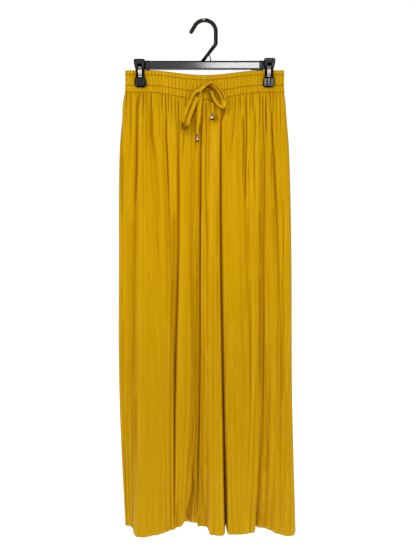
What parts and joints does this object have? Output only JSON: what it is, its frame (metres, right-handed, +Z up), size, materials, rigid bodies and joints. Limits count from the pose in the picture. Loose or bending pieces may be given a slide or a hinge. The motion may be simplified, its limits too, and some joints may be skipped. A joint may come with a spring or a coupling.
{
  "type": "palazzo pants on a clip hanger",
  "caption": "Full-length pleated palazzo pants with an elastic drawstring waist, hung by the waistband from a clip hanger.",
  "frame": {"origin": "where a rail touches the hanger's hook, at the inside top of its bend", "axes": "+Z up; +X to the right as the garment's front is seen; +Y from the front to the back"},
  "size_m": [0.3797, 0.0966, 1.0947],
  "materials": {
    "cloth": "mustard pleated crepe",
    "tie": "mustard self-fabric strap",
    "cord_end": "polished dark nickel",
    "hanger_plastic": "glossy moulded black",
    "clip_plastic": "satin moulded black",
    "spring_steel": "plain steel strip"
  },
  "bodies": {
    "root": {"waistband_front": "cloth", "waistband_back": "cloth", "leg_front_left": "cloth", "leg_front_right": "cloth", "leg_back_left": "cloth", "leg_back_right": "cloth", "tie_knot": "tie", "tie_loop_left": "tie", "tie_loop_right": "tie", "tie_tail_left": "tie", "tie_tail_right": "tie", "cord_end_left": "cord_end", "cord_end_right": "cord_end", "hanger_frame": "hanger_plastic", "clip_left_front": "clip_plastic", "clip_left_back": "clip_plastic", "clip_right_front": "clip_plastic", "clip_right_back": "clip_plastic", "spring_left_front": "spring_steel", "spring_left_back": "spring_steel", "spring_right_front": "spring_steel", "spring_right_back": "spring_steel"}
  },
  "joints": []
}
